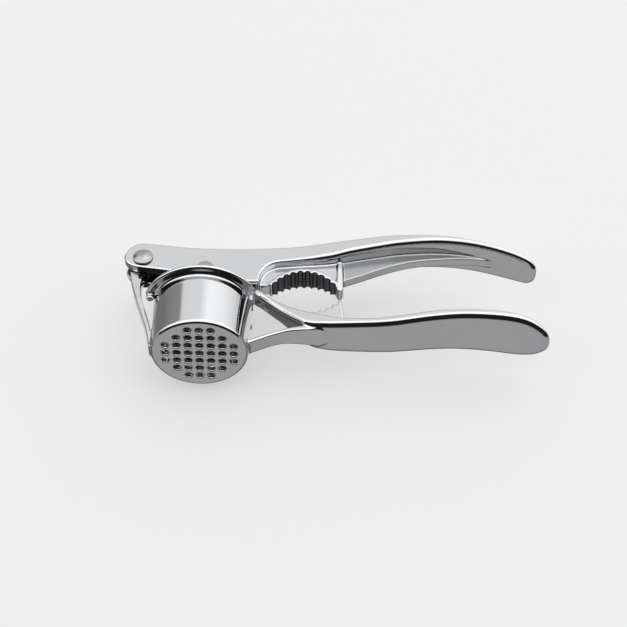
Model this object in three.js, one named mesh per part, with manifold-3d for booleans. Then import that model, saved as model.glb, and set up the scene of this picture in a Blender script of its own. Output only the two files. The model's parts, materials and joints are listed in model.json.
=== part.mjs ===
// Garlic press with a nutcracker behind the basket: two chromed castings on one hinge rivet,
// and a press foot that swings on its own pin under the upper arm.
//
// While a piece is drawn, X runs from the basket's axis to the handles' ends, Y runs from the
// perforated plate up the basket to the upper arm, and Z is sideways with the mid-plane at 0.
// The press lies on its side, so Z is also up. The last lines move it to stand on Z = 0.
import * as THREE from 'three';
import { mergeVertices } from 'three/addons/utils/BufferGeometryUtils.js';
import Module from 'manifold-3d';

const wasm = await Module();
wasm.setup();

// ---- driving dimensions, millimetres -------------------------------------------------

const GAP = 0.3; // left between two pieces that touch or turn on each other

const BASKET = {
  plateY: -1.7, // outer face of the perforated plate
  plateThickness: 2.0,
  plateRadius: 16.85,
  edgeRadius: 0.9,
  wallTopRadius: 17.4,
  boreFloorRadius: 15.5,
  boreTopRadius: 16.2,
  rimY: 21.6,
};
const HOLES = { radius: 1.3, pitch: 3.94, x: 0.1, z: 0.3, turn: 2.3, rows: [1, 2, 3, 3, 3, 2, 1] };
const RIM = { underside: 20.0, radius: 20.9, nearArc: [-70, 66], farArc: [125, 235] };
const RIM_STOP = { angle: -71, radius: 1.3, depth: 1.8 };

const HINGE = { x: -22.2, y: 39.3, lugRadius: 5.0, rivetRadius: 2.4 };
const RIVET_HEAD = { radius: 3.7, skirt: 0.35, height: 1.7, farHeight: 1.2 };
const STRUT = { halfWidth: 2.85, shoulderY: 31, lugHalfWidth: 2.2 };

const ARM = { halfWidth: 5.7, slotHalfWidth: 2.5, heelX: 20 };
const PIN = { x: 0.5, y: 33.6, radius: 2.0, headRadius: 3.3, headHeight: 0.7 };
const FOOT = { radius: 13.9, bottom: 4.0, thickness: 3.6, chamfer: 0.5, eyeRadius: 4.6, halfWidth: 2.2 };
const HUB = { radius: 9, topRadius: 6.5, height: 1.6 }; // low cone on the foot's disc

const UPPER_JAW = { x: 35.9, y: 19.4, radius: 13.8, depth: 2.2, halfWidth: 4.4, from: 36, to: 143 };
const JAW_HALF_WIDTH = [[20, 2.6], [27.5, 3.8], [35.5, 4.4], [43.5, 3.8], [52, 2.6]];
const LOWER_JAW = { x: 36.2, y: 30.6, radius: 15.6, halfWidth: 3.5, from: 263, to: 318 };
const TEETH = { pitch: 2.63, radius: 0.95 };
const WEB = { pocketHalfWidth: 2.4, ribHalfWidth: 1.8 };
const HANDLE_REACH = 12; // past the widest half-width of either casting's handle

// Side view of the lower casting: outer face, inner face and the two branches of its fork.
const STRUT_FOOT = [[-12, -1.7], [-15.9, -1.7], [-16.9, -1.2]];
const STRUT_OUTER = [[-17.6, -0.2], [-19.3, 8.6], [-22, 17], [-24.9, 26], [-26.6, 33], [-27, 37]];
const STRUT_INNER = [[-20.2, 33.6], [-22.5, 30.4], [-23.1, 26.2], [-20.2, 17], [-17.6, 8.8], [-16.6, 3],
  [-15, 1]];
const LOWER_OUTER = [[16.4, 0.6], [21, 2.7], [26, 4.8], [31.3, 6.0], [40, 5.9], [52, 5.5], [66, 5.7],
  [80, 7.5], [91, 8.2], [102, 7.4], [111, 5.8], [117, 4.1], [121.4, 2.8]];
const LOWER_INNER = [[121.8, 4.0], [119.2, 5.9], [115.4, 7.4], [110.6, 8.8], [103.9, 10.3], [97, 11.1],
  [86.8, 11.4], [79.8, 10.9], [69.4, 9.4], [59, 8.5], [48.6, 9.1]];
const UPPER_BRANCH_TOP = [[48.6, 9.1], [41.7, 11.2], [37, 13.4], [33, 15.7], [29, 18.4], [25.5, 21.2],
  [22, 24.2], [18.6, 26.9]];
const UPPER_BRANCH_UNDER = [[18.0, 24.3], [21.2, 21.5], [24.1, 18.7], [27.7, 15.7], [31.2, 13.3],
  [34.7, 11.2], [38.5, 9.0]];
const LOWER_BRANCH_TOP = [[38.5, 9.0], [35, 8.0], [31.3, 7.8], [27.8, 7.0], [24.4, 5.8], [21, 4.4],
  [16.4, 2.4]];
const LOWER_RIB = [[50.2, 13.4], [56, 12.9], [66, 12.6], [78, 13.2], [90, 13.0], [100, 11.6], [108, 9]];
const LOWER_RIB_ROOT = [[100, 9], [60, 7.5], [46, 8]];
const FORK_ROOT = [[16.2, 26.9], [16.2, 21], [18, 21]];
const JAW_BLOCK = [[49.3, 20.6], [50.2, 13.4], [50.2, 8], [42, 8], [33.2, 14.4]];
const LOWER_HALF_WIDTH = [[10, 3.4], [26, 3.4], [31, 4.0], [36, 5.4], [42, 6.7], [50, 7.4], [62, 7.9],
  [76, 8.6], [90, 9.2], [102, 9.6], [109, 9.6], [114, 8.8], [118, 6.7], [120.8, 3.6], [121.8, 0]];

// Side view of the upper casting: back, underside of the head, underside of the handle and rib.
const ARM_BACK = [[-22.4, 47], [-18.7, 46.6], [-14, 45.9], [-8, 45.1], [-1.5, 44.5], [8, 44.1], [16, 44.1],
  [24, 44.4], [34.5, 45.1], [44, 46.1], [53, 47.1], [64, 48.5], [72, 49.0], [82, 48.8], [89, 48.0],
  [96.4, 46.5], [103.4, 44.3], [110.2, 41.7], [115.7, 39.7], [120.7, 37.7]];
const HEAD_UNDER = [[20, 27.6], [10, 28.2], [2, 29.8], [-6, 31.6], [-14, 33.3], [-21.5, 34.5]];
const HEAD_END = [[-21.5, 34.5], [-23.8, 34.9], [-25.7, 35.5], [-27.3, 36.6], [-28.5, 38.2], [-29.1, 40],
  [-28.8, 42], [-27.8, 44], [-26.3, 45.7], [-24.6, 46.7], [-22.4, 47]];
const CHANNEL = [[-34, 50], [-34, 24], [7.5, 24], [7.5, 36], [5, 40.5], [-11, 41.5], [-14, 50]];
const HANDLE_UNDER = [[120.3, 35.9], [115, 37.7], [110.4, 39.4], [103.4, 41.9], [96.4, 43.8],
  [89, 44.9], [82, 45.2], [71, 44.4], [64, 43.2], [53, 40.9], [47.2, 39.4], [41.8, 38.6], [34.6, 38.1],
  [27.7, 37.5]];
const POCKET_WEB = [[49, 28], [49, 41], [30, 40], [18, 38], [18, 28.6], [24, 28.6]];
const POCKET_CORNER = [[27.7, 37.5], [25.2, 36.9], [22.9, 35.4], [21.2, 33.1], [20.3, 30.4], [20, 27.6]];
const UPPER_RIB = [[50.2, 31.2], [56.2, 33.7], [63.6, 37], [70.9, 39.7], [78.3, 41.4], [89.3, 42.4],
  [96.6, 42.0], [103.8, 40.6], [108, 39.4]];
const UPPER_RIB_ROOT = [[96, 44.6], [80, 46], [60, 44.5], [48.4, 41], [48.4, 29]];
const JAW_END = [[47.7, 27.2], [48.4, 25.9], [49.5, 25.9], [50.2, 27.2], [50.2, 40], [48.2, 40]];
const UPPER_HALF_WIDTH = [[-32, 5.7], [20, 5.7], [34, 5.9], [44, 6.6], [53, 7.4], [64, 7.8], [76, 8.2],
  [88, 8.4], [98, 8.4], [106, 8.2], [112.2, 7.6], [117, 6.1], [119.8, 3.6], [120.7, 0]];

// Side view of the press foot's stem, above the disc.
const STEM_LEFT = [[-3.9, 30], [-3.6, 22], [-4.2, 13], [-7.5, 7.2]];
const STEM_RIGHT = [[7.5, 7.2], [4.6, 13], [4.3, 22], [4.9, 30]];

// ---- shape helpers -------------------------------------------------------------------

const rad = THREE.MathUtils.degToRad;

function solid(geometry) {
  geometry.deleteAttribute('normal');
  geometry.deleteAttribute('uv');
  const merged = mergeVertices(geometry, 1e-4);
  const vertProperties = new Float32Array(merged.attributes.position.array);
  const triVerts = new Uint32Array(merged.index.array);
  return new wasm.Manifold(new wasm.Mesh({ numProp: 3, vertProperties, triVerts }));
}

function corners(points) {
  return points.map(([x, y]) => new THREE.Vector2(x, y));
}

function curve(points, steps) {
  return new THREE.SplineCurve(corners(points)).getPoints(steps);
}

function arc(x, y, radius, from, to, steps) {
  return Array.from({ length: steps + 1 }, (_, i) => {
    const a = rad(from + ((to - from) * i) / steps);
    return new THREE.Vector2(x + radius * Math.cos(a), y + radius * Math.sin(a));
  });
}

// A side view, drawn in X and Y, given thickness in Z.
function sideSlab(outline, z0, z1) {
  const geometry = new THREE.ExtrudeGeometry(new THREE.Shape(outline), { depth: z1 - z0, bevelEnabled: false });
  return solid(geometry.translate(0, 0, z0));
}

// A plan, drawn in X and Z, given height in Y.
function planSlab(outline, y0, y1) {
  const geometry = new THREE.ExtrudeGeometry(new THREE.Shape(outline), { depth: y1 - y0, bevelEnabled: false });
  return solid(geometry.rotateX(Math.PI / 2).translate(0, y1, 0));
}

// A plan that is as wide on both sides of the mid-plane.
function mirroredPlan(halfWidths, y0, y1) {
  const edge = curve(halfWidths, 48);
  const otherEdge = edge.slice(0, -1).reverse().map((p) => new THREE.Vector2(p.x, -p.y));
  return planSlab([...edge, ...otherEdge], y0, y1);
}

// A turned shape about the upright line through x; the profile is [radius, y] pairs.
function turned(profile, x, segments) {
  const points = profile.map(([r, y]) => new THREE.Vector2(r, y));
  return solid(new THREE.LatheGeometry(points, segments).translate(x, 0, 0));
}

function crossRod(x, y, radius, z0, z1, segments = 32) {
  const geometry = new THREE.CylinderGeometry(radius, radius, z1 - z0, segments);
  return solid(geometry.rotateX(Math.PI / 2).translate(x, y, (z0 + z1) / 2));
}

// Half-round flutes across a jaw, one every pitch along its arc.
function flutes(jaw) {
  const step = THREE.MathUtils.radToDeg(TEETH.pitch / jaw.radius);
  const count = Math.floor((jaw.to - jaw.from) / step);
  const start = (jaw.from + jaw.to - count * step) / 2;
  const reach = jaw.halfWidth + 1;
  return Array.from({ length: count + 1 }, (_, i) => {
    const a = rad(start + i * step);
    const x = jaw.x + jaw.radius * Math.cos(a);
    const y = jaw.y + jaw.radius * Math.sin(a);
    return crossRod(x, y, TEETH.radius, -reach, reach, 10);
  });
}

function mesh(name, shape, look) {
  const { vertProperties, triVerts } = shape.getMesh();
  const geometry = new THREE.BufferGeometry();
  geometry.setAttribute('position', new THREE.BufferAttribute(vertProperties, 3));
  geometry.setIndex(new THREE.BufferAttribute(triVerts, 1));
  geometry.computeVertexNormals();
  const piece = new THREE.Mesh(geometry, new THREE.MeshStandardMaterial(look));
  piece.name = name;
  return piece;
}

// ---- lower casting: basket, strut, fork, handle and lower jaw --------------------------

function basketShell() {
  const { plateY, plateRadius, edgeRadius, wallTopRadius, rimY } = BASKET;
  return turned([[0, plateY], [plateRadius - edgeRadius, plateY], [plateRadius, plateY + edgeRadius],
    [wallTopRadius, RIM.underside], [wallTopRadius, rimY], [0, rimY]], 0, 64);
}

// One stretch of the rim, between two angles from the sideways direction, with round ends.
function rimArc([from, to]) {
  const inner = BASKET.boreTopRadius + 0.5;
  const steps = Math.ceil((to - from) / 6);
  const middle = (BASKET.wallTopRadius + RIM.radius) / 2;
  const endRadius = (RIM.radius - BASKET.wallTopRadius) / 2;
  const outline = [...arc(0, 0, RIM.radius, 90 - to, 90 - from, steps),
    ...arc(0, 0, inner, 90 - from, 90 - to, steps)];
  const band = planSlab(outline, RIM.underside, BASKET.rimY);
  const ends = [from, to].map((angle) => {
    const a = rad(90 - angle);
    const end = arc(middle * Math.cos(a), middle * Math.sin(a), endRadius, 0, 330, 11);
    return planSlab(end, RIM.underside, BASKET.rimY);
  });
  return band.add(ends[0]).add(ends[1]);
}

// The small round stop under the near rim's end, beside the strut.
function rimStop() {
  const a = rad(90 - RIM_STOP.angle);
  const reach = (BASKET.wallTopRadius + RIM.radius) / 2 - 0.3;
  const round = arc(reach * Math.cos(a), reach * Math.sin(a), RIM_STOP.radius, 0, 330, 11);
  return planSlab(round, RIM.underside - RIM_STOP.depth, RIM.underside + 0.5);
}

function drainHoles() {
  const top = BASKET.plateY + BASKET.plateThickness + 1;
  const middleRow = (HOLES.rows.length - 1) / 2;
  const [c, s] = [Math.cos(rad(HOLES.turn)), Math.sin(rad(HOLES.turn))];
  const rods = [];
  HOLES.rows.forEach((reach, row) => {
    for (let column = -reach; column <= reach; column += 1) {
      const [u, v] = [column * HOLES.pitch, (row - middleRow) * HOLES.pitch];
      const round = arc(HOLES.x + c * u + s * v, HOLES.z - s * u + c * v, HOLES.radius, 0, 330, 11);
      rods.push(planSlab(round, BASKET.plateY - 1, top));
    }
  });
  return rods;
}

// A strap from the plate's hinge-side edge, narrower where it enters the arm as the hinge's lug.
function strut() {
  const { halfWidth, shoulderY, lugHalfWidth } = STRUT;
  const outer = curve(STRUT_OUTER, 24);
  const inner = curve(STRUT_INNER, 24);
  const lug = arc(HINGE.x, HINGE.y, HINGE.lugRadius, 195, -60, 36);
  const belowShoulder = (p) => p.y < shoulderY;
  const strap = [...corners(STRUT_FOOT), ...outer.filter(belowShoulder), ...inner.filter(belowShoulder)];
  const whole = [...corners(STRUT_FOOT), ...outer, ...lug, ...inner];
  return sideSlab(strap, -halfWidth, halfWidth).add(sideSlab(whole, -lugHalfWidth, lugHalfWidth));
}

function lowerHandle() {
  const outline = [...curve(LOWER_OUTER, 60), ...curve(LOWER_INNER, 50), ...curve(UPPER_BRANCH_TOP, 28),
    ...corners(FORK_ROOT), ...curve(UPPER_BRANCH_UNDER, 24), ...curve(LOWER_BRANCH_TOP.slice(1), 20)];
  const body = sideSlab(outline, -HANDLE_REACH, HANDLE_REACH)
    .intersect(mirroredPlan(LOWER_HALF_WIDTH, -10, 40));
  const rib = [...curve(LOWER_RIB, 30), ...corners(LOWER_RIB_ROOT)];
  return body.add(sideSlab(rib, -WEB.ribHalfWidth, WEB.ribHalfWidth));
}

function lowerJaw() {
  const { x, y, radius, halfWidth, from, to } = LOWER_JAW;
  const block = sideSlab([...arc(x, y, radius, from, to, 24), ...corners(JAW_BLOCK)], -halfWidth, halfWidth);
  return flutes(LOWER_JAW).reduce((jaw, flute) => jaw.subtract(flute), block);
}

function lowerCasting() {
  const { plateY, plateThickness, boreFloorRadius, boreTopRadius, rimY } = BASKET;
  const floor = plateY + plateThickness;
  const clear = rimY + 9;
  const bore = turned([[0, floor], [boreFloorRadius, floor], [boreTopRadius, rimY], [boreTopRadius, clear],
    [0, clear]], 0, 64);
  let casting = basketShell().add(rimArc(RIM.nearArc)).add(rimArc(RIM.farArc)).add(rimStop());
  casting = casting.add(strut()).add(lowerHandle()).add(lowerJaw()).subtract(bore);
  casting = drainHoles().reduce((shape, rod) => shape.subtract(rod), casting);
  return casting.subtract(crossRod(HINGE.x, HINGE.y, HINGE.rivetRadius + GAP, -ARM.halfWidth, ARM.halfWidth));
}

// ---- upper casting: hinge ears, channel, nutcracker pocket and handle -------------------

function armHead() {
  const back = curve(ARM_BACK, 90).filter((p) => p.x < ARM.heelX);
  const outline = [...curve(HEAD_END, 36), ...back.slice(1), new THREE.Vector2(ARM.heelX, back.at(-1).y),
    ...curve(HEAD_UNDER, 24).slice(0, -1)];
  return sideSlab(outline, -ARM.halfWidth, ARM.halfWidth);
}

function upperHandle() {
  const back = curve(ARM_BACK, 90).filter((p) => p.x > ARM.heelX - 2);
  const outline = [...back, ...curve(HANDLE_UNDER, 60), ...curve(POCKET_CORNER, 12).slice(1),
    new THREE.Vector2(ARM.heelX - 2, 28)];
  return sideSlab(outline, -HANDLE_REACH, HANDLE_REACH)
    .intersect(mirroredPlan(UPPER_HALF_WIDTH, 20, 60));
}

function upperJaw() {
  const { x, y, radius, depth, halfWidth, from, to } = UPPER_JAW;
  const outline = [...arc(x, y, radius, from, to, 30), ...arc(x, y, radius + depth, to, from, 30)];
  const rail = sideSlab(outline, -halfWidth, halfWidth).add(sideSlab(corners(JAW_END), -halfWidth, halfWidth));
  const waisted = rail.intersect(mirroredPlan(JAW_HALF_WIDTH, 20, 60));
  return flutes(UPPER_JAW).reduce((jaw, flute) => jaw.subtract(flute), waisted);
}

function upperWeb() {
  const { x, y, radius, depth, from, to } = UPPER_JAW;
  const jawBack = arc(x, y, radius + depth / 2, to, from, 24);
  const pocket = [...jawBack, ...corners(POCKET_WEB)];
  const rib = [...curve(UPPER_RIB, 30), ...corners(UPPER_RIB_ROOT)];
  return sideSlab(pocket, -WEB.pocketHalfWidth, WEB.pocketHalfWidth)
    .add(sideSlab(rib, -WEB.ribHalfWidth, WEB.ribHalfWidth));
}

// Room between the two walls of the head for the hinge lug and for the foot's own lug.
function armChannel() {
  return sideSlab(corners(CHANNEL), -ARM.slotHalfWidth, ARM.slotHalfWidth);
}

function upperCasting() {
  return armHead().add(upperHandle()).add(upperWeb()).add(upperJaw()).subtract(armChannel())
    .subtract(crossRod(HINGE.x, HINGE.y, HINGE.rivetRadius + GAP, -HANDLE_REACH, HANDLE_REACH))
    .subtract(crossRod(PIN.x, PIN.y, PIN.radius + GAP, -HANDLE_REACH, HANDLE_REACH));
}

// ---- press foot, rivet and pin -----------------------------------------------------------

function pressFoot() {
  const { radius, bottom, thickness, chamfer, eyeRadius, halfWidth } = FOOT;
  const top = bottom + thickness;
  const disc = turned([[0, bottom], [radius - chamfer, bottom], [radius, bottom + chamfer],
    [radius, top - chamfer], [radius - chamfer, top], [HUB.radius, top], [HUB.topRadius, top + HUB.height],
    [0, top + HUB.height]], 0, 48);
  const eye = arc(PIN.x, PIN.y, eyeRadius, -20, 200, 24);
  const stem = [...eye, ...curve(STEM_LEFT, 14), ...curve(STEM_RIGHT, 14)];
  return disc.add(sideSlab(stem, -halfWidth, halfWidth))
    .subtract(crossRod(PIN.x, PIN.y, PIN.radius + GAP, -ARM.halfWidth, ARM.halfWidth));
}

// A rod across the arm with a domed head at each end, drawn as one turned profile.
function hingeRivet() {
  const { rivetRadius } = HINGE;
  const { radius, skirt, height, farHeight } = RIVET_HEAD;
  const near = ARM.halfWidth + GAP;
  const dome = (side, rise) => [[radius, side * (near + skirt)], [radius * 0.86, side * (near + rise * 0.62)],
    [radius * 0.5, side * (near + rise * 0.92)], [0, side * (near + rise)]];
  const profile = [...dome(-1, farHeight).reverse(), [radius, -near], [rivetRadius, -near],
    [rivetRadius, near], [radius, near], ...dome(1, height)];
  const points = profile.map(([r, z]) => new THREE.Vector2(r, z));
  const geometry = new THREE.LatheGeometry(points, 40).rotateX(Math.PI / 2);
  return solid(geometry.translate(HINGE.x, HINGE.y, 0));
}

function footPin() {
  const near = ARM.halfWidth + GAP;
  const far = near + PIN.headHeight;
  const inset = PIN.headHeight / 2;
  return crossRod(PIN.x, PIN.y, PIN.radius, inset - far, far - inset)
    .add(crossRod(PIN.x, PIN.y, PIN.headRadius, near, far, 40))
    .add(crossRod(PIN.x, PIN.y, PIN.headRadius, -far, -near, 40));
}

// ---- assembly ---------------------------------------------------------------------------

const CHROME = { color: 0xc9cccf, roughness: 0.12, metalness: 1 };
const SATIN_STEEL = { color: 0x9a9ca0, roughness: 0.3, metalness: 1 };

const press = new THREE.Group();
press.add(mesh('lower_casting', lowerCasting(), CHROME));
press.add(mesh('upper_arm', upperCasting(), CHROME));
press.add(mesh('press_foot', pressFoot(), CHROME));
press.add(mesh('hinge_rivet', hingeRivet(), SATIN_STEEL));
press.add(mesh('foot_pin', footPin(), SATIN_STEEL));

const box = new THREE.Box3().setFromObject(press);
press.position.set(-(box.min.x + box.max.x) / 2, -(box.min.y + box.max.y) / 2, -box.min.z);

export default press;
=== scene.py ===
"""A chromed garlic press with nutcracker jaws, shown lying on its side on a pale table.

Each piece is described as a signed distance field in the press's own drawing, in millimetres:
X runs from the basket to the handles' ends, Y from the perforated plate up to the upper arm, and Z
sideways, with the mid-plane at 0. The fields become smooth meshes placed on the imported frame.
"""

import json
import math

import bpy
import numpy as np
import openvdb
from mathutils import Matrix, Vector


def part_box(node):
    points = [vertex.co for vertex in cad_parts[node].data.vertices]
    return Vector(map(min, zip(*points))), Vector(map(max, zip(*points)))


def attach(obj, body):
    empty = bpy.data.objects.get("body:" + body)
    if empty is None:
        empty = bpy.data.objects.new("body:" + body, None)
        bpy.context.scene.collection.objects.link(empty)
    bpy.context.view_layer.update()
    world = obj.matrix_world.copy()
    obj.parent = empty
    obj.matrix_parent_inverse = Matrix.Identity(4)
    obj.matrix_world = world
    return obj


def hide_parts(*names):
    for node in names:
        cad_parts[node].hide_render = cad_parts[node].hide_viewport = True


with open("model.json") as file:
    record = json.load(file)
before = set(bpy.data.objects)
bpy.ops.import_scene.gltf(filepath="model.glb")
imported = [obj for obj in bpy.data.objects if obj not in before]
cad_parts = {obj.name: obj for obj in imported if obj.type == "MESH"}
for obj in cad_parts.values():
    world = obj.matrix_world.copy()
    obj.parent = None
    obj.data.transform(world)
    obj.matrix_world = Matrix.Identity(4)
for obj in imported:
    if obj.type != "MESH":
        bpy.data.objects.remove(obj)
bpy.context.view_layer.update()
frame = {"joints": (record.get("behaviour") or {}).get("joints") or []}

# ---- the press's driving dimensions, in millimetres ------------------------------------------

MM = 0.001
GAP = 0.3  # between pieces that touch

# The basket: the perforated plate is at the bottom of the drawing and the rim at the top of the
# wall. Angles round the basket are in degrees from Z towards X. A row of drain holes has so many
# holes to either side of its middle one.
PLATE = dict(y=-1.7, thickness=2.0, radius=16.85, edge=1.25)
WALL_TOP = 17.4
BORE = (15.5, 16.2)
RIM = dict(under=20.0, top=21.6, radius=20.9, arcs=((-70, 66), (125, 235)))
STOP = dict(angle=-71, radius=1.3, depth=1.8, half=1.2)
HOLES = dict(radius=1.3, pitch=3.94, x=0.1, z=0.3, turn=2.3, rows=(1, 2, 3, 3, 3, 2, 1), above=2)

# The hinge, the foot's pin and what turns on them.
HINGE = (-22.2, 39.3)
PIN = (0.5, 33.6)
ARM_HALF = 5.7
SLOT_HALF = 2.5
RIVET = dict(radius=2.4, head=3.7, brim=0.3, rise=1.7, far_rise=1.2, room=4.6)
FOOT_PIN = dict(radius=2.0, head=3.3, tall=0.7, room=4)
FOOT = dict(radius=13.9, y=5.8, half=1.8, lug=4.6, lug_half=2.2)
HUB = dict(radius=9, y=7.6, narrower=2.5, height=1.6, top=9.2, hidden=5)

# The nutcracker's jaws, with half-round flutes at an even pitch. Each jaw has an axis and a radius,
# a half width, and an arc in degrees. The upper one narrows with the square of the distance in X.
JAW_UP = dict(x=35.9, y=19.4, r=13.8, depth=2.2, half=4.4, a0=36, a1=143, waist=0.009, waist_x=35.5)
JAW_LOW = dict(x=36.2, y=30.6, r=15.6, half=3.5, a0=263, a1=318)
TOOTH = dict(pitch=2.63, radius=0.95)
WEB_HALF = 2.4
RIB_HALF = 1.8

# The handles' bevels: a mean share of the depth, and how much more or less it is to either side.
BEVEL = dict(share=0.65, swing=0.35, blend=4, soft=0.6)
LOWER_BEVEL = dict(start=20, angle=30, depth=0.85, edge=0.4)
UPPER_BEVEL = dict(start=27.7, angle=40, depth=0.9, grows_from=28, grows_over=16, edge=0.35)
FAR_CHEEK = dict(end=-8, run=4, least=0.7, most=2.4)

# Outlines in the side view, and plans of the handles as (X, half width).
STRUT_OUTER = ((-17.6, -0.2), (-19.3, 8.6), (-22, 17), (-24.9, 26), (-26.6, 33), (-27, 37))
STRUT_INNER = (
    (-21.0, 35.0), (-22.2, 32), (-22.5, 28), (-21.8, 23), (-20.0, 17), (-17.6, 8.8), (-16.6, 3), (-15, 1),
)
STRUT_FOOT = ((-12, -0.4), (-16.4, -0.6))
STRUT_LUG = dict(radius=4.4, start=195, end=-60)
STRUT_TAPER = dict(y=(22, 31), half=(2.85, 2.2))
LOWER_OUTER = (
    (16.4, 0.6), (21, 2.7), (26, 4.8), (31.3, 6.0), (40, 5.9), (52, 5.5), (66, 5.7), (80, 7.5), (91, 8.2),
    (102, 7.4), (111, 5.8), (117, 4.1), (121.4, 2.8),
)
LOWER_INNER = (
    (121.8, 4.0), (119.2, 5.9), (115.4, 7.4), (110.6, 8.8), (103.9, 10.3), (97, 11.1), (86.8, 11.4),
    (79.8, 10.9), (69.4, 9.4), (59, 8.5), (48.6, 9.1),
)
BRANCH_TOP = (
    (48.6, 9.1), (41.7, 11.2), (37, 13.4), (33, 15.7), (29, 18.4), (25.5, 21.2), (22, 24.2), (18.6, 26.9),
)
FORK_END = 44
FORK_ROOT = ((16.2, 26.9), (16.2, 21), (18, 21))
FORK_UNDER = (
    (18.0, 24.3), (21.2, 21.5), (24.1, 18.7), (27.7, 15.5), (31, 12.5), (33.8, 9.9), (36.4, 7.8),
    (39.4, 6.5), (43.5, 5.9),
)
LOW_BRANCH_TOP = (
    (40, 8.4), (37.4, 8.2), (34.6, 8.0), (31.3, 7.6), (27.8, 6.9), (24.4, 5.8), (21, 4.4), (16.4, 2.4),
)
LOW_BRANCH_END = (46, 8.0)
LOWER_RIB = ((50.2, 13.4), (56, 12.9), (66, 12.6), (78, 13.2), (90, 13.0), (100, 11.6), (108, 9))
LOWER_RIB_ROOT = ((100, 9), (60, 7.5), (46, 8))
JAW_BLOCK = ((49.3, 20.6), (50.2, 13.4), (50.2, 8), (42, 8), (33.2, 14.4))
LOW_BRANCH_WIDTH = ((10, 3.2), (26, 3.2), (31, 3.7), (35, 4.1), (38.5, 4.4), (42, 4.4), (48, 0))
LOWER_WIDTH = (
    (10, 3.4), (26, 3.4), (31, 4.2), (36, 5.6), (42, 6.8), (50, 7.4), (62, 7.9), (76, 8.6), (90, 9.2),
    (102, 9.6), (109, 9.6), (114, 8.8), (118, 6.7), (120.8, 3.6), (121.8, 0),
)

HEAD_END = (
    (-21.5, 34.5), (-23.8, 34.9), (-25.7, 35.5), (-27.3, 36.6), (-28.5, 38.2), (-29.1, 40), (-28.8, 42),
    (-27.8, 44), (-26.3, 45.7), (-24.6, 46.7), (-22.4, 47),
)
ARM_BACK = (
    (-22.4, 47), (-18.7, 46.6), (-14, 45.9), (-8, 45.1), (-1.5, 44.5), (8, 44.1), (16, 44.1), (24, 44.4),
    (34.5, 45.1), (44, 46.1), (53, 47.1), (64, 48.5), (72, 49.0), (82, 48.8), (89, 48.0), (96.4, 46.5),
    (103.4, 44.3), (110.2, 41.7), (115.7, 39.7), (120.7, 37.7),
)
HANDLE_UNDER = (
    (120.3, 35.9), (115, 37.7), (110.4, 39.4), (103.4, 41.9), (96.4, 43.8), (89, 44.9), (82, 45.2),
    (71, 44.4), (64, 43.2), (53, 40.9), (47.2, 39.4), (41.8, 38.6), (34.6, 38.1), (27.7, 37.5),
)
POCKET_CORNER = ((27.7, 37.5), (25.2, 36.9), (22.9, 35.4), (21.2, 33.1), (20.3, 30.4), (20, 27.6))
HEAD_UNDER = ((20, 27.6), (10, 28.2), (2, 29.8), (-6, 31.6), (-14, 33.3), (-21.5, 34.5))
CHANNEL = ((-34, 52), (-34, 22), (7.5, 22), (7.5, 36), (5, 40.5), (-11, 41.5), (-14, 52))
POCKET_WEB = ((49, 28), (49, 41), (30, 40), (18, 38), (18, 28.6), (24, 28.6))
UPPER_RIB = (
    (50.2, 31.2), (56.2, 33.7), (63.6, 37), (70.9, 39.7), (78.3, 41.4), (89.3, 42.4), (96.6, 42.4),
    (103.8, 41.5), (109, 40.9),
)
UPPER_RIB_ROOT = ((109, 41.5), (96, 44.6), (80, 46), (60, 44.5), (48.4, 41), (48.4, 29))
JAW_END = ((47.7, 27.2), (48.4, 25.9), (49.5, 25.9), (50.2, 27.2), (50.2, 40), (48.2, 40))
UPPER_WIDTH = (
    (-32, 5.7), (20, 5.7), (34, 5.9), (44, 6.6), (53, 7.4), (64, 7.8), (76, 8.2), (88, 8.4), (98, 8.4),
    (106, 8.2), (112.2, 7.6), (117, 6.1), (119.8, 3.6), (120.7, 0),
)
STEM_LEFT = ((-3.9, 30), (-3.6, 22), (-4.2, 13), (-7.5, 7.2))
STEM_RIGHT = ((7.5, 7.2), (4.6, 13), (4.3, 22), (4.9, 30))

# Where shade is painted on the castings: a face is told by its place and by which way it looks. The slot's
# faces stop at the strut's corner, and at a line given by a point and its fall per millimetre.
FLUTE_FACES = dict(past_flute=0.12, past_axes=0.3)
RIB_SIDES = dict(half=1.95, sideways=0.4, x=(50.6, 108), above=30)
SLOT_FACES = dict(half=SLOT_HALF + 0.05, end=7.8, above=30.5, strut=(-23.5, 35.5), under=(-22, 33, 0.2))
HEAD_UNDERSIDE = dict(x=(-24, -9), y=(30.5, 36.5), sideways=0.7)

# Meshing: how far from the surface a field is kept, a distance well away from any surface, how
# the points settle on to the surface, and how far apart a slope is measured, in grid steps.
BAND = 3.0
FAR = 9.0
SETTLE = dict(rounds=3, share=0.8)
SLOPE_REACH = 0.9

# The studio, in shares of a turn or of a height: a sky that goes over the press from front to
# back, a dark flag that stands low on one side, and a fill light on the other.
SKY_OVER = (
    (0.0, 0.36), (0.12, 0.34), (0.21, 0.12), (0.29, 0.06), (0.335, 0.25), (0.367, 0.28), (0.425, 0.26),
    (0.45, 0.01), (0.612, 0.01), (0.62, 0.45), (0.638, 0.5), (0.652, 1.0), (0.76, 1.0), (0.86, 0.61),
    (0.93, 0.5), (1.0, 0.4),
)
FLAG = dict(
    round=((0.31, 0.0), (0.345, 1.0), (0.385, 1.0), (0.398, 0.0)),
    up=((0.52, 1.0), (0.6, 0.0)),
    takes=0.62,
)
FILL = dict(round=((0.5, 0.0), (0.56, 1.0), (0.67, 1.0), (0.73, 0.0)), gain=0.75, sky=1.95)
FLOOR_HALF = 2
FLOOR = dict(colour=(0.24, 0.24, 0.239, 1), glow=(1.0, 1.0, 0.995, 1), glow_strength=0.49)
CAMERA = dict(at=(39.45, -314.3, 366.96), down=47.9, lens=80.15, sensor=36.0)

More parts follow.
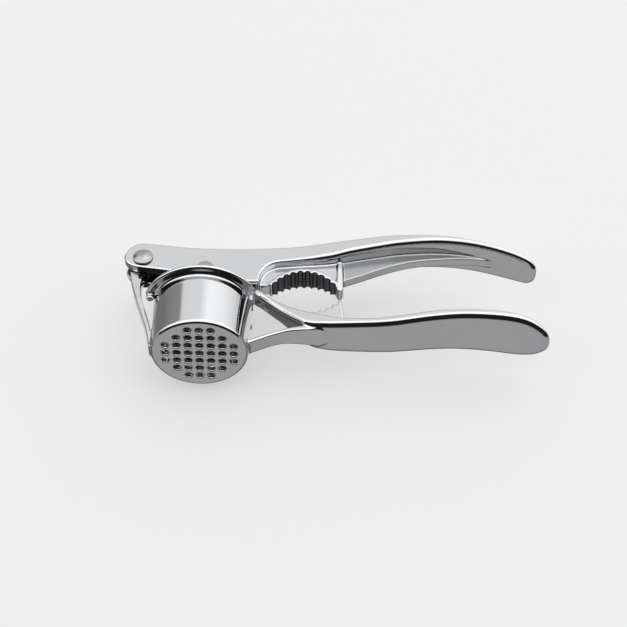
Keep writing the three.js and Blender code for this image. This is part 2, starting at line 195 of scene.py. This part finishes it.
# The drawing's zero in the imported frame, from the hinge that both share.
hinge_joint = next(j for j in frame["joints"] if j["name"] == "handle_hinge")
ORIGIN = np.array(hinge_joint["pos_m"]) / MM - np.array([HINGE[0], HINGE[1], 0.0])


# ---- outlines ----------------------------------------------------------------------------------

def curve(points, steps):
    """A smooth line through the points, in even parameter steps."""
    p = np.array(points, float)
    t = np.linspace(0, len(p) - 1, steps + 1)
    i = np.minimum(t.astype(int), len(p) - 2)
    u = (t - i)[:, None]
    before, start, end, after = (p[np.clip(i + k, 0, len(p) - 1)] for k in (-1, 0, 1, 2))
    v0, v1 = (end - before) / 2, (after - start) / 2
    cubic = 2 * start - 2 * end + v0 + v1
    square = -3 * start + 3 * end - 2 * v0 - v1
    return cubic * u**3 + square * u**2 + v0 * u + start


def arc(x, y, radius, start, end, steps=30):
    """Points on a circle, from one angle in degrees to another."""
    a = np.radians(np.linspace(start, end, steps + 1))
    return np.stack([x + radius * np.cos(a), y + radius * np.sin(a)], 1)


def outline(*parts):
    """Points and stretches of points as one closed outline."""
    return np.concatenate([np.atleast_2d(np.array(p, float)) for p in parts])


# ---- distance fields ---------------------------------------------------------------------------

class Block:
    """A box of grid points round a piece."""

    def __init__(self, low, high, step):
        self.low, self.step = np.array(low, float), step
        axes = [np.arange(a, b + step, step, dtype=np.float32) for a, b in zip(low, high)]
        self.x = axes[0][:, None, None]
        self.y = axes[1][None, :, None]
        self.z = axes[2][None, None, :]

    def polygon(self, points):
        """Signed distance, in the side view, to a closed outline."""
        return self.to_outline(self.x[:, :, 0], self.y[:, :, 0], points)[:, :, None]

    def plan(self, half_widths):
        """Signed distance, in the plan, to an outline that is as wide on both sides of the mid-plane."""
        edge = curve(half_widths, 60)
        points = np.concatenate([edge, edge[:-1][::-1] * (1, -1)])
        return self.to_outline(self.x[:, 0, :], self.z[:, 0, :], points)[:, None, :]

    @staticmethod
    def to_outline(x, y, points):
        """Signed distance, below 0 inside, from each place to the nearest side of an outline."""
        best = np.full((x.shape[0], y.shape[1]), 1e9, np.float32)
        inside = np.zeros(best.shape, bool)
        for (ax, ay), (bx, by) in zip(points, np.roll(points, -1, 0)):
            ex, ey = bx - ax, by - ay
            size = ex * ex + ey * ey
            if size < 1e-9:
                continue
            wx, wy = x - ax, y - ay
            t = np.clip((wx * ex + wy * ey) / size, 0, 1)
            best = np.minimum(best, (wx - ex * t) ** 2 + (wy - ey * t) ** 2)
            if ay != by:
                crosses = (y >= ay) != (y >= by)
                inside ^= crosses & (x < ax + (y - ay) * ex / ey)
        return np.where(inside, -np.sqrt(best), np.sqrt(best))

    def circle(self, x, y, radius):
        """Signed distance, in the side view, to a circle."""
        return np.hypot(self.x - x, self.y - y) - radius

    def from_upright(self, radius, angle):
        """Distance from an upright line that stands on a circle round the basket's axis."""
        a = math.radians(angle)
        return np.hypot(self.x - radius * math.sin(a), self.z - radius * math.cos(a))


def both(a, b, edge=0.0):
    """Where two shapes overlap, with the edge between them rounded."""
    if np.all(edge <= 0):
        return np.maximum(a, b)
    return np.minimum(-edge, np.maximum(a, b)) + np.hypot(np.maximum(a + edge, 0), np.maximum(b + edge, 0))


def cut(a, b, edge=0.0):
    """The first shape without the second, with the edge between them rounded."""
    return both(a, -b, edge)


def join(a, b, fillet=0.0):
    """Two shapes as one, with a fillet in the corner between them."""
    if fillet <= 0:
        return np.minimum(a, b)
    inner = np.hypot(np.maximum(fillet - a, 0), np.maximum(fillet - b, 0))
    return np.maximum(fillet, np.minimum(a, b)) - inner


def slab(v, low, high):
    """Signed distance to a slab between two levels."""
    return np.abs(v - (low + high) / 2) - (high - low) / 2


def above(block, line):
    """Signed distance to all that is above a line, which is drawn from left to right."""
    x = block.x[:, 0, 0]
    y = np.interp(x, line[:, 0], line[:, 1])
    slope = np.gradient(y, block.step)
    return ((y[:, None, None] - block.y) / np.hypot(1, slope)[:, None, None]).astype(np.float32)


def bevelled(front, side, z, angle, depth, edge):
    """A handle's edge: a broad bevel that runs into the face, then a tight turn to the side.

    The bevel has its full depth on the side that shows and less on the far one.
    """
    a = math.radians(angle)
    share = BEVEL["share"] + BEVEL["swing"] * np.clip(z / BEVEL["blend"], -1, 1)
    bevel = front * math.cos(a) + side * math.sin(a) + depth * share
    soft = BEVEL["soft"]
    near = np.maximum(soft - np.abs(front - bevel), 0) / soft
    face = np.maximum(front, bevel) + near * near * soft / 4
    return both(face, side, edge)


def soften(field):
    """A light blur, which rounds what casting and polishing would."""
    for axis in range(3):
        f = np.moveaxis(field, axis, 0)
        g = f.copy()
        g[1:-1] = (f[:-2] + 2 * f[1:-1] + f[2:]) / 4
        field = np.moveaxis(g, 0, axis)
    return np.ascontiguousarray(field)


def sample(field, at):
    """The field between its grid points."""
    top = np.array(field.shape) - 2
    i = np.clip(at.astype(int), 0, top)
    u = at - i
    out = 0
    for dx in (0, 1):
        for dy in (0, 1):
            for dz in (0, 1):
                w = (u[:, 0] if dx else 1 - u[:, 0]) * (u[:, 1] if dy else 1 - u[:, 1])
                w = w * (u[:, 2] if dz else 1 - u[:, 2])
                out = out + w * field[i[:, 0] + dx, i[:, 1] + dy, i[:, 2] + dz]
    return out


def gradient(field, at):
    """The direction in which the field grows, as a unit vector at each place."""
    steps = np.eye(3) * SLOPE_REACH
    g = np.stack([sample(field, at + e) - sample(field, at - e) for e in steps], 1)
    return g / np.maximum(np.linalg.norm(g, axis=1, keepdims=True), 1e-9)


# ---- materials ---------------------------------------------------------------------------------

class Nodes:
    """The shader nodes of one material or world."""

    def __init__(self, owner):
        owner.use_nodes = True
        self.owner = owner
        self.tree = owner.node_tree
        self.tree.nodes.clear()

    def add(self, kind, inputs=(), **settings):
        """A node with its settings, and its inputs as numbers or as links from other nodes."""
        node = self.tree.nodes.new(kind)
        for key, value in settings.items():
            setattr(node, key, value)
        for key, value in dict(inputs).items():
            if isinstance(value, bpy.types.NodeSocket):
                self.tree.links.new(value, node.inputs[key])
            else:
                node.inputs[key].default_value = value
        return node

    def maths(self, operation, *values):
        """The result of a sum with one, two or three values."""
        return self.add("ShaderNodeMath", dict(enumerate(values)), operation=operation).outputs[0]

    def share_of_turn(self, up, along):
        """The angle of two coordinates as a share of a full turn, with 0.5 where it is 0."""
        return self.maths("MULTIPLY_ADD", self.maths("ARCTAN2", up, along), 0.5 / math.pi, 0.5)

    def ramp(self, value, stops):
        """A grey ramp through stops of (position, level)."""
        node = self.add("ShaderNodeValToRGB", {"Fac": value})
        while len(node.color_ramp.elements) < len(stops):
            node.color_ramp.elements.new(0.5)
        for element, (at, level) in zip(node.color_ramp.elements, stops):
            element.position = at
            element.color = (level, level, level, 1)
        return node.outputs["Color"]


def metal(name, colour, rough, grain, wave, scratch):
    """Polished metal: a slow waviness, fine scratches, smudges and wear along the edges."""
    n = Nodes(bpy.data.materials.new(name))
    where = n.add("ShaderNodeTexCoord").outputs["Object"]
    slow = n.add("ShaderNodeTexNoise", {"Vector": where, "Scale": 70.0, "Detail": 1.5, "Roughness": 0.4})
    smudge = n.add("ShaderNodeTexNoise", {"Vector": where, "Scale": 190.0, "Detail": 5.0, "Roughness": 0.62})
    stretch = n.add("ShaderNodeMapping", {"Vector": where, "Scale": (60.0, 1500.0, 1500.0)})
    lines = n.add("ShaderNodeTexNoise", {"Vector": stretch.outputs["Vector"], "Scale": 1.0, "Detail": 3.0})
    edge = n.add("ShaderNodeNewGeometry").outputs["Pointiness"]
    worn = n.ramp(edge, ((0.5, 0.0), (0.58, 1.0)))
    film = n.ramp(smudge.outputs["Fac"], ((0.38, 0.0), (0.72, 1.0)))
    smudged = n.maths("MULTIPLY", film, grain)
    worn_too = n.maths("MULTIPLY_ADD", worn, 0.05, smudged)
    roughness = n.maths("ADD", worn_too, rough)
    clean, dimmed = colour + (1,), tuple(c * 0.97 for c in colour) + (1,)
    # The mix node's colours are its inputs 6 and 7, and the mixed colour is its output 2.
    mix = n.add("ShaderNodeMix", {"Factor": film, 6: clean, 7: dimmed}, data_type="RGBA")
    waves = n.add("ShaderNodeBump", {"Strength": 0.25, "Distance": wave, "Height": slow.outputs["Fac"]})
    scratches = n.add("ShaderNodeBump", {
        "Strength": 0.3, "Distance": scratch, "Height": lines.outputs["Fac"],
        "Normal": waves.outputs["Normal"],
    })
    shader = n.add("ShaderNodeBsdfPrincipled", {
        "Base Color": mix.outputs[2], "Metallic": 1.0, "Roughness": roughness,
        "Normal": scratches.outputs["Normal"],
    })
    n.add("ShaderNodeOutputMaterial", {"Surface": shader.outputs["BSDF"]})
    return n.owner


chrome = metal("bright_chrome", (0.55, 0.556, 0.565), rough=0.05, grain=0.03, wave=0.0001, scratch=0.000006)
steel = metal("satin_steel", (0.33, 0.328, 0.325), rough=0.13, grain=0.05, wave=0.00005, scratch=0.00001)
# Painted shade: the jaws' flutes and crests near-black.
flute_shade_paint = metal("flutes_painted_shade", (0.085, 0.087, 0.092), rough=0.2, grain=0.1, wave=0.0001, scratch=0.00003)
# Painted shade: the upper rib's sides a darker grey.
rib_shade_paint = metal("rib_sides_painted_shade", (0.36, 0.364, 0.37), rough=0.22, grain=0.05, wave=0.0001, scratch=0.00001)
# Painted shade: the faces in the arm's slot and under its head near-black.
slot_shade_paint = metal("slot_painted_shade", (0.03, 0.03, 0.032), rough=0.35, grain=0.15, wave=0.0001, scratch=0.00003)

# The materials with painted shade follow a casting's own in its list of materials.
PAINTED_SHADES = (flute_shade_paint, slot_shade_paint, rib_shade_paint)
OWN, FLUTE_SHADE, SLOT_SHADE, RIB_SHADE = range(4)


# ---- from a field to a piece -------------------------------------------------------------------

def surface(block, field):
    """Where the field is zero: points in the drawing, their normals, and faces that look out."""
    grid = openvdb.FloatGrid(background=BAND)
    grid.copyFromArray(np.ascontiguousarray(np.clip(field, -BAND, BAND), dtype=np.float32))
    points, quads = grid.convertToQuads(isovalue=0.0)
    points = np.array(points, float)
    for _ in range(SETTLE["rounds"]):
        pull = gradient(field, points) * sample(field, points)[:, None] / block.step
        points -= pull * SETTLE["share"]
    normals = gradient(field, points)
    # The faces' own normals, added up, are compared with the field's.
    a, b, c = (points[quads[:, k]] for k in (0, 1, 2))
    facing = (np.cross(b - a, c - a) * normals[quads[:, 0]]).sum()
    faces = quads[:, ::-1] if facing < 0 else quads
    return points * block.step + block.low, normals, faces


def within(v, span):
    """Whether each value lies between the span's two ends."""
    return (v > span[0]) & (v < span[1])


def flute_faces(x, y, jaw):
    """The jaw's flutes, and the crests between them, where dark shade is painted."""
    to_axis = np.minimum.reduce([np.hypot(x - ax, y - ay) for ax, ay in flute_axes(jaw)])
    out = np.hypot(x - jaw["x"], y - jaw["y"])
    around = np.degrees(np.arctan2(y - jaw["y"], x - jaw["x"])) % 360
    crest = (out < jaw["r"] + FLUTE_FACES["past_axes"]) & within(around, (jaw["a0"], jaw["a1"]))
    return (to_axis < TOOTH["radius"] + FLUTE_FACES["past_flute"]) | crest


def slot_faces(x, y, z):
    """The faces in the arm's slot, and the strut's lug inside it, where dark shade is painted."""
    strut_x, strut_y = SLOT_FACES["strut"]
    from_x, from_y, fall = SLOT_FACES["under"]
    inside = (np.abs(z) < SLOT_FACES["half"]) & (x < SLOT_FACES["end"]) & (y > SLOT_FACES["above"])
    return inside & ((x > strut_x) | (y > strut_y)) & (y > from_y - fall * (x - from_x))


def head_underside(x, y, normals):
    """The underside of the arm's head, beside the hinge, where dark shade is painted."""
    place = within(x, HEAD_UNDERSIDE["x"]) & within(y, HEAD_UNDERSIDE["y"])
    return place & (np.abs(normals[:, 2]) < HEAD_UNDERSIDE["sideways"]) & (normals[:, 1] < 0)


def rib_sides_painted_shade(x, y, z, normals):
    """Both sides of the rib in the upper handle, where grey shade is painted."""
    place = within(x, RIB_SIDES["x"]) & (np.abs(z) < RIB_SIDES["half"]) & (y > RIB_SIDES["above"])
    return place & (np.abs(normals[:, 2]) > RIB_SIDES["sideways"])


def material_or_painted_shade(node, jaw, centres, normals):
    """Each face's material, its own or one with painted shade, as its place in the casting's list of
    materials.
    """
    x, y, z = centres.T
    slot_shaded = slot_faces(x, y, z)
    if node == "upper_arm":
        slot_shaded |= head_underside(x, y, normals)
    flute_shaded, rib_shaded = flute_faces(x, y, jaw), rib_sides_painted_shade(x, y, z, normals)
    return np.select([slot_shaded, flute_shaded, rib_shaded], [SLOT_SHADE, FLUTE_SHADE, RIB_SHADE], OWN).astype(np.int32)


def piece(name, node, body, slot, block, field, material, jaw=None):
    """Meshes a field and puts it on the frame in place of its CAD node."""
    points, normals, faces = surface(block, field)
    low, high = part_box(node)
    place = np.clip((points + ORIGIN) * MM, np.array(low), np.array(high))
    data = bpy.data.meshes.new(name)
    data.from_pydata(place.tolist(), [], faces.tolist())
    data.polygons.foreach_set("use_smooth", np.ones(len(faces), bool))
    data.normals_split_custom_set_from_vertices(normals.tolist())
    data.materials.append(material)
    # A casting with a jaw also takes the materials with painted shade, face by face.
    if jaw:
        for shade_paint in PAINTED_SHADES:
            data.materials.append(shade_paint)
        chosen = material_or_painted_shade(node, jaw, points[faces].mean(1), normals[faces].mean(1))
        data.polygons.foreach_set("material_index", chosen)
    obj = bpy.data.objects.new(name, data)
    bpy.context.scene.collection.objects.link(obj)
    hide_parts(node)
    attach(obj, body)


def flute_axes(jaw):
    """The axes of a jaw's flutes in the side view, spread evenly over its arc."""
    step = math.degrees(TOOTH["pitch"] / jaw["r"])
    count = int((jaw["a1"] - jaw["a0"]) / step)
    start = (jaw["a0"] + jaw["a1"] - count * step) / 2
    angles = [math.radians(start + k * step) for k in range(count + 1)]
    return [(jaw["x"] + jaw["r"] * math.cos(a), jaw["y"] + jaw["r"] * math.sin(a)) for a in angles]


def flutes(block, field, jaw, edge):
    """Half-round flutes along a jaw's face."""
    rods = np.minimum.reduce([block.circle(x, y, TOOTH["radius"]) for x, y in flute_axes(jaw)])
    return cut(field, rods, edge)


# ---- the pieces --------------------------------------------------------------------------------

def rim(b, r):
    """The rim: two arcs with round ends, nearly round in section."""
    middle, half = (WALL_TOP + RIM["radius"]) / 2, (RIM["radius"] - WALL_TOP) / 2
    turn = np.degrees(np.arctan2(b.x, b.z))
    bands = []
    for a0, a1 in RIM["arcs"]:
        off = (turn - (a0 + a1) / 2 + 180) % 360 - 180
        ends = np.minimum(b.from_upright(middle, a0), b.from_upright(middle, a1))
        bands.append(np.where(np.abs(off) < (a1 - a0) / 2, np.abs(r - middle), ends) - half)
    return both(np.minimum(*bands), slab(b.y, RIM["under"], RIM["top"]), edge=0.75)


def stop(b):
    """The small stop below the rim's end."""
    post = b.from_upright((WALL_TOP + RIM["radius"]) / 2, STOP["angle"]) - STOP["radius"]
    height = np.abs(b.y - (RIM["under"] - STOP["depth"]) - STOP["half"]) - STOP["half"]
    return both(post, height, edge=0.45)


def basket(b, r):
    """The basket from outside, still solid: its plate and wall, with the rim and the stop."""
    slope = (WALL_TOP - PLATE["radius"]) / (RIM["under"] - PLATE["y"])
    wall = PLATE["radius"] + (b.y - PLATE["y"]) * slope
    shell = both(r - wall, slab(b.y, PLATE["y"], RIM["top"]), PLATE["edge"])
    return join(join(shell, rim(b, r), fillet=1.2), stop(b), fillet=0.25)


def hollowed(b, r, field):
    """The casting with the basket's bore and the plate's drain holes."""
    floor = PLATE["y"] + PLATE["thickness"]
    bore = BORE[0] + (b.y - floor) * (BORE[1] - BORE[0]) / (RIM["top"] - floor)
    field = cut(field, both(r - bore, floor - b.y, edge=0.6), edge=0.35)
    c, s = math.cos(math.radians(HOLES["turn"])), math.sin(math.radians(HOLES["turn"]))
    drains = np.full(r.shape, FAR, np.float32)
    for row, reach in enumerate(HOLES["rows"]):
        v = (row - len(HOLES["rows"]) // 2) * HOLES["pitch"]
        for column in range(-reach, reach + 1):
            u = column * HOLES["pitch"]
            x, z = HOLES["x"] + c * u + s * v, HOLES["z"] - s * u + c * v
            drains = np.minimum(drains, np.hypot(b.x - x, b.z - z) - HOLES["radius"])
    return cut(field, np.maximum(drains, b.y - floor - HOLES["above"]), edge=0.3)


def strut(b):
    """The strap up to the hinge, narrower where it goes into the arm."""
    lug = arc(*HINGE, STRUT_LUG["radius"], STRUT_LUG["start"], STRUT_LUG["end"])
    strap = b.polygon(outline(STRUT_FOOT, curve(STRUT_OUTER, 24), lug, curve(STRUT_INNER, 24)))
    half = np.interp(b.y, STRUT_TAPER["y"], STRUT_TAPER["half"]).astype(np.float32)
    return both(strap, np.abs(b.z) - half, edge=0.45)


def lower_handle(b):
    """The lower handle with its fork, the rib inside it and the lower jaw."""
    side = b.plan(LOWER_WIDTH)
    outer = curve(LOWER_OUTER, 60)
    outer_end = outer[outer[:, 0] > FORK_END]
    under = curve(FORK_UNDER, 32)
    body = b.polygon(outline(outer_end, curve(LOWER_INNER, 50), curve(BRANCH_TOP, 28), FORK_ROOT, under))
    front = above(b, outline(under, outer_end))
    bevel = bevelled(front, side, b.z, LOWER_BEVEL["angle"], LOWER_BEVEL["depth"], LOWER_BEVEL["edge"])
    handle = np.maximum(both(body, side, edge=0.7), np.where(b.x > LOWER_BEVEL["start"], bevel, -FAR))
    outer_start = outer[outer[:, 0] < LOW_BRANCH_END[0]]
    branch = b.polygon(outline(outer_start, LOW_BRANCH_END, curve(LOW_BRANCH_TOP, 24)))
    handle = join(handle, both(branch, b.plan(LOW_BRANCH_WIDTH), edge=0.5), fillet=0.5)
    rib = b.polygon(outline(curve(LOWER_RIB, 30), LOWER_RIB_ROOT))
    handle = join(handle, both(rib, np.abs(b.z) - RIB_HALF, edge=0.6), fillet=0.6)
    face = arc(JAW_LOW["x"], JAW_LOW["y"], JAW_LOW["r"], JAW_LOW["a0"], JAW_LOW["a1"])
    jaw = both(b.polygon(outline(face, JAW_BLOCK)), np.abs(b.z) - JAW_LOW["half"], edge=0.45)
    return flutes(b, join(handle, jaw, fillet=0.9), JAW_LOW, edge=0.2)


def lower_casting(step):
    """The basket, the strut, and the lower handle with its jaw, as one casting."""
    b = Block((-29, -3, -22), (123.5, 46, 22), step)
    r = np.hypot(b.x, b.z)
    field = join(basket(b, r), strut(b), fillet=0.6)
    field = join(field, lower_handle(b), fillet=0.8)
    field = hollowed(b, r, field)
    field = cut(field, b.circle(*HINGE, RIVET["radius"] + GAP), edge=0.2)
    return b, soften(field)


def arm_body(b):
    """The arm from its head to the handle's end, with the handle's bevels."""
    side = b.plan(UPPER_WIDTH)
    under = curve(HANDLE_UNDER, 60)
    body = b.polygon(outline(
        curve(HEAD_END, 36), curve(ARM_BACK, 110)[1:], under, curve(POCKET_CORNER, 16)[1:],
        curve(HEAD_UNDER, 24)[1:-1],
    ))
    grown = (b.x - UPPER_BEVEL["grows_from"]) / UPPER_BEVEL["grows_over"]
    depth = np.clip(grown, 0.0, UPPER_BEVEL["depth"])
    bevel = bevelled(above(b, under[::-1]), side, b.z, UPPER_BEVEL["angle"], depth, UPPER_BEVEL["edge"])
    field = np.maximum(both(body, side, edge=0.7), np.where(b.x > UPPER_BEVEL["start"], bevel, -FAR))
    # The far cheek's lower edge is well rounded at the hinge end.
    round_off = np.clip((FAR_CHEEK["end"] - b.x) / FAR_CHEEK["run"], FAR_CHEEK["least"], FAR_CHEEK["most"])
    far = both(body, -b.z - ARM_HALF, round_off)
    return np.where(b.z < 0, np.maximum(field, far), field)


def upper_jaw(b):
    """The arched rail that carries the upper jaw's flutes, narrower to both ends."""
    x, y, radius, top = JAW_UP["x"], JAW_UP["y"], JAW_UP["r"], JAW_UP["r"] + JAW_UP["depth"]
    a0, a1 = JAW_UP["a0"], JAW_UP["a1"]
    rail = b.polygon(outline(arc(x, y, radius, a0, a1), arc(x, y, top, a1, a0)))
    rail = np.minimum(rail, b.polygon(outline(JAW_END)))
    waist = np.abs(b.z) - JAW_UP["half"] + JAW_UP["waist"] * (b.x - JAW_UP["waist_x"]) ** 2
    return both(rail, waist, edge=0.4)


def pocket_web(b):
    """The thin web that joins the jaw's rail to the arm above it."""
    middle = arc(JAW_UP["x"], JAW_UP["y"], JAW_UP["r"] + JAW_UP["depth"] / 2, JAW_UP["a1"], JAW_UP["a0"])
    return np.maximum(b.polygon(outline(middle, POCKET_WEB)), np.abs(b.z) - WEB_HALF)


def upper_arm(step):
    """The arm with its channel for the foot's lug, the rib and the upper jaw, as one casting."""
    b = Block((-30.5, 24, -10), (121, 51, 10), step)
    field = join(arm_body(b), pocket_web(b), fillet=0.3)
    rib = b.polygon(outline(curve(UPPER_RIB, 30), UPPER_RIB_ROOT))
    field = join(field, both(rib, np.abs(b.z) - RIB_HALF, edge=0.35), fillet=0.15)
    field = join(field, upper_jaw(b), fillet=0.3)
    field = flutes(b, field, JAW_UP, edge=0.2)
    channel = np.maximum(b.polygon(outline(CHANNEL)), np.abs(b.z) - SLOT_HALF)
    field = cut(field, channel, edge=0.3)
    field = cut(field, b.circle(*HINGE, RIVET["radius"] + GAP), edge=0.25)
    field = cut(field, b.circle(*PIN, FOOT_PIN["radius"] + GAP), edge=0.25)
    return b, soften(field)


def press_foot(step):
    """The disc, the low hub on it and the lug up to the pin."""
    b = Block((-15, 3, -15), (15, 39.5, 15), step)
    r = np.hypot(b.x, b.z)
    disc = both(r - FOOT["radius"], np.abs(b.y - FOOT["y"]) - FOOT["half"], edge=0.5)
    cone = r - (HUB["radius"] - (b.y - HUB["y"]) * HUB["narrower"] / HUB["height"])
    hub = np.maximum(both(cone, b.y - HUB["top"], edge=0.5), HUB["hidden"] - b.y)
    top = arc(*PIN, FOOT["lug"], -20, 200)
    stem = b.polygon(outline(top, curve(STEM_LEFT, 14), curve(STEM_RIGHT, 14)))
    lug = both(stem, np.abs(b.z) - FOOT["lug_half"], edge=0.5)
    field = join(join(disc, hub, fillet=0.8), lug, fillet=1.0)
    return b, soften(cut(field, b.circle(*PIN, FOOT_PIN["radius"] + GAP), edge=0.25))


def hinge_rivet(step):
    """The rivet, whose domed heads have a short straight brim. The near head is the taller one."""
    x, y = HINGE
    room, brim, wide = RIVET["room"], RIVET["brim"], RIVET["head"]
    b = Block((x - room, y - room, -8.2), (x + room, y + room, 8.6), step)
    r = np.hypot(b.x - x, b.y - y)
    near = ARM_HALF + GAP
    field = both(r - RIVET["radius"], np.abs(b.z) - near - brim, edge=0.1)
    for side, rise in ((1, RIVET["rise"]), (-1, RIVET["far_rise"])):
        ball = (wide**2 + (rise - brim) ** 2) / (2 * (rise - brim))
        z = b.z * side - near
        dome = np.sqrt(r**2 + (z - rise + ball) ** 2) - ball
        head = both(both(dome, r - wide, edge=0.25), -z, edge=0.15)
        field = join(field, head, fillet=0.1)
    return b, soften(field)


def foot_pin(step):
    """The pin that holds the foot, with a flat head at each end."""
    x, y = PIN
    room, tall = FOOT_PIN["room"], FOOT_PIN["tall"]
    b = Block((x - room, y - room, -7.6), (x + room, y + room, 7.6), step)
    r = np.hypot(b.x - x, b.y - y)
    height = np.abs(b.z) - (ARM_HALF + GAP) - tall / 2
    rod = both(r - FOOT_PIN["radius"], height, edge=0.1)
    head = both(r - FOOT_PIN["head"], np.abs(height) - tall / 2, edge=0.25)
    return b, soften(np.minimum(rod, head))


# The material slots of the record, each with its finish.
BRIGHT = ("bright_chrome", chrome)
SATIN = ("satin_steel", steel)

# Each piece's name, its CAD node and body, its slot, its shape and grid step, and its jaw.
for name, node, body, (slot, material), shape, step, jaw in (
    ("press_lower_casting", "lower_casting", "lower_body", BRIGHT, lower_casting, 0.25, JAW_LOW),
    ("press_upper_arm", "upper_arm", "arm", BRIGHT, upper_arm, 0.25, JAW_UP),
    ("press_foot_piece", "press_foot", "foot", BRIGHT, press_foot, 0.28, None),
    ("hinge_rivet_piece", "hinge_rivet", "arm", SATIN, hinge_rivet, 0.13, None),
    ("foot_pin_piece", "foot_pin", "arm", SATIN, foot_pin, 0.13, None),
):
    piece(name, node, body, slot, *shape(step), material, jaw)


# ---- table, light and camera ---------------------------------------------------------------------

def table():
    """A pale table, which gives a little light of its own."""
    s = FLOOR_HALF
    floor_mesh = bpy.data.meshes.new("floor")
    floor_mesh.from_pydata([(-s, -s, 0), (s, -s, 0), (s, s, 0), (-s, s, 0)], [], [(0, 1, 2, 3)])
    floor = bpy.data.objects.new("floor", floor_mesh)
    bpy.context.scene.collection.objects.link(floor)
    paint = Nodes(bpy.data.materials.new("table_paint"))
    shader = paint.add("ShaderNodeBsdfPrincipled", {
        "Base Color": FLOOR["colour"], "Roughness": 0.7,
        "Emission Color": FLOOR["glow"], "Emission Strength": FLOOR["glow_strength"],
    })
    paint.add("ShaderNodeOutputMaterial", {"Surface": shader.outputs["BSDF"]})
    floor_mesh.materials.append(paint.owner)
    floor.visible_glossy = False  # the metal mirrors the studio, not the table under it


def studio():
    """The sky over the press, darkened by the flag and raised by the fill light."""
    world = bpy.data.worlds.new("studio")
    bpy.context.scene.world = world
    sky = Nodes(world)
    toward = sky.add("ShaderNodeTexCoord").outputs["Generated"]
    axes = sky.add("ShaderNodeSeparateXYZ", {"Vector": toward}).outputs
    front = sky.maths("MULTIPLY", axes["Y"], -1.0)
    level = sky.ramp(sky.share_of_turn(axes["Z"], front), SKY_OVER)
    round_about = sky.share_of_turn(axes["X"], axes["Y"])
    flag = sky.maths("MULTIPLY", sky.ramp(round_about, FLAG["round"]), sky.ramp(axes["Z"], FLAG["up"]))
    open_sky = sky.maths("MULTIPLY_ADD", flag, -FLAG["takes"], 1.0)
    lit = sky.maths("MULTIPLY_ADD", sky.ramp(round_about, FILL["round"]), FILL["gain"], FILL["sky"])
    strength = sky.maths("MULTIPLY", open_sky, lit)
    glow = sky.add("ShaderNodeBackground", {"Color": level, "Strength": strength})
    sky.add("ShaderNodeOutputWorld", {"Surface": glow.outputs["Background"]})


def camera():
    """The photo's view, which looks down on the press from the lower handle's side."""
    data = bpy.data.cameras.new("camera")
    data.lens, data.sensor_width = CAMERA["lens"], CAMERA["sensor"]
    data.clip_start, data.clip_end = 0.01, 10
    view = bpy.data.objects.new("camera", data)
    bpy.context.scene.collection.objects.link(view)
    view.location = tuple((np.array(CAMERA["at"]) + ORIGIN) * MM)
    view.rotation_euler = (math.radians(90 - CAMERA["down"]), 0, 0)
    bpy.context.scene.camera = view
    bpy.context.scene.view_settings.view_transform = "Standard"


table()
studio()
camera()
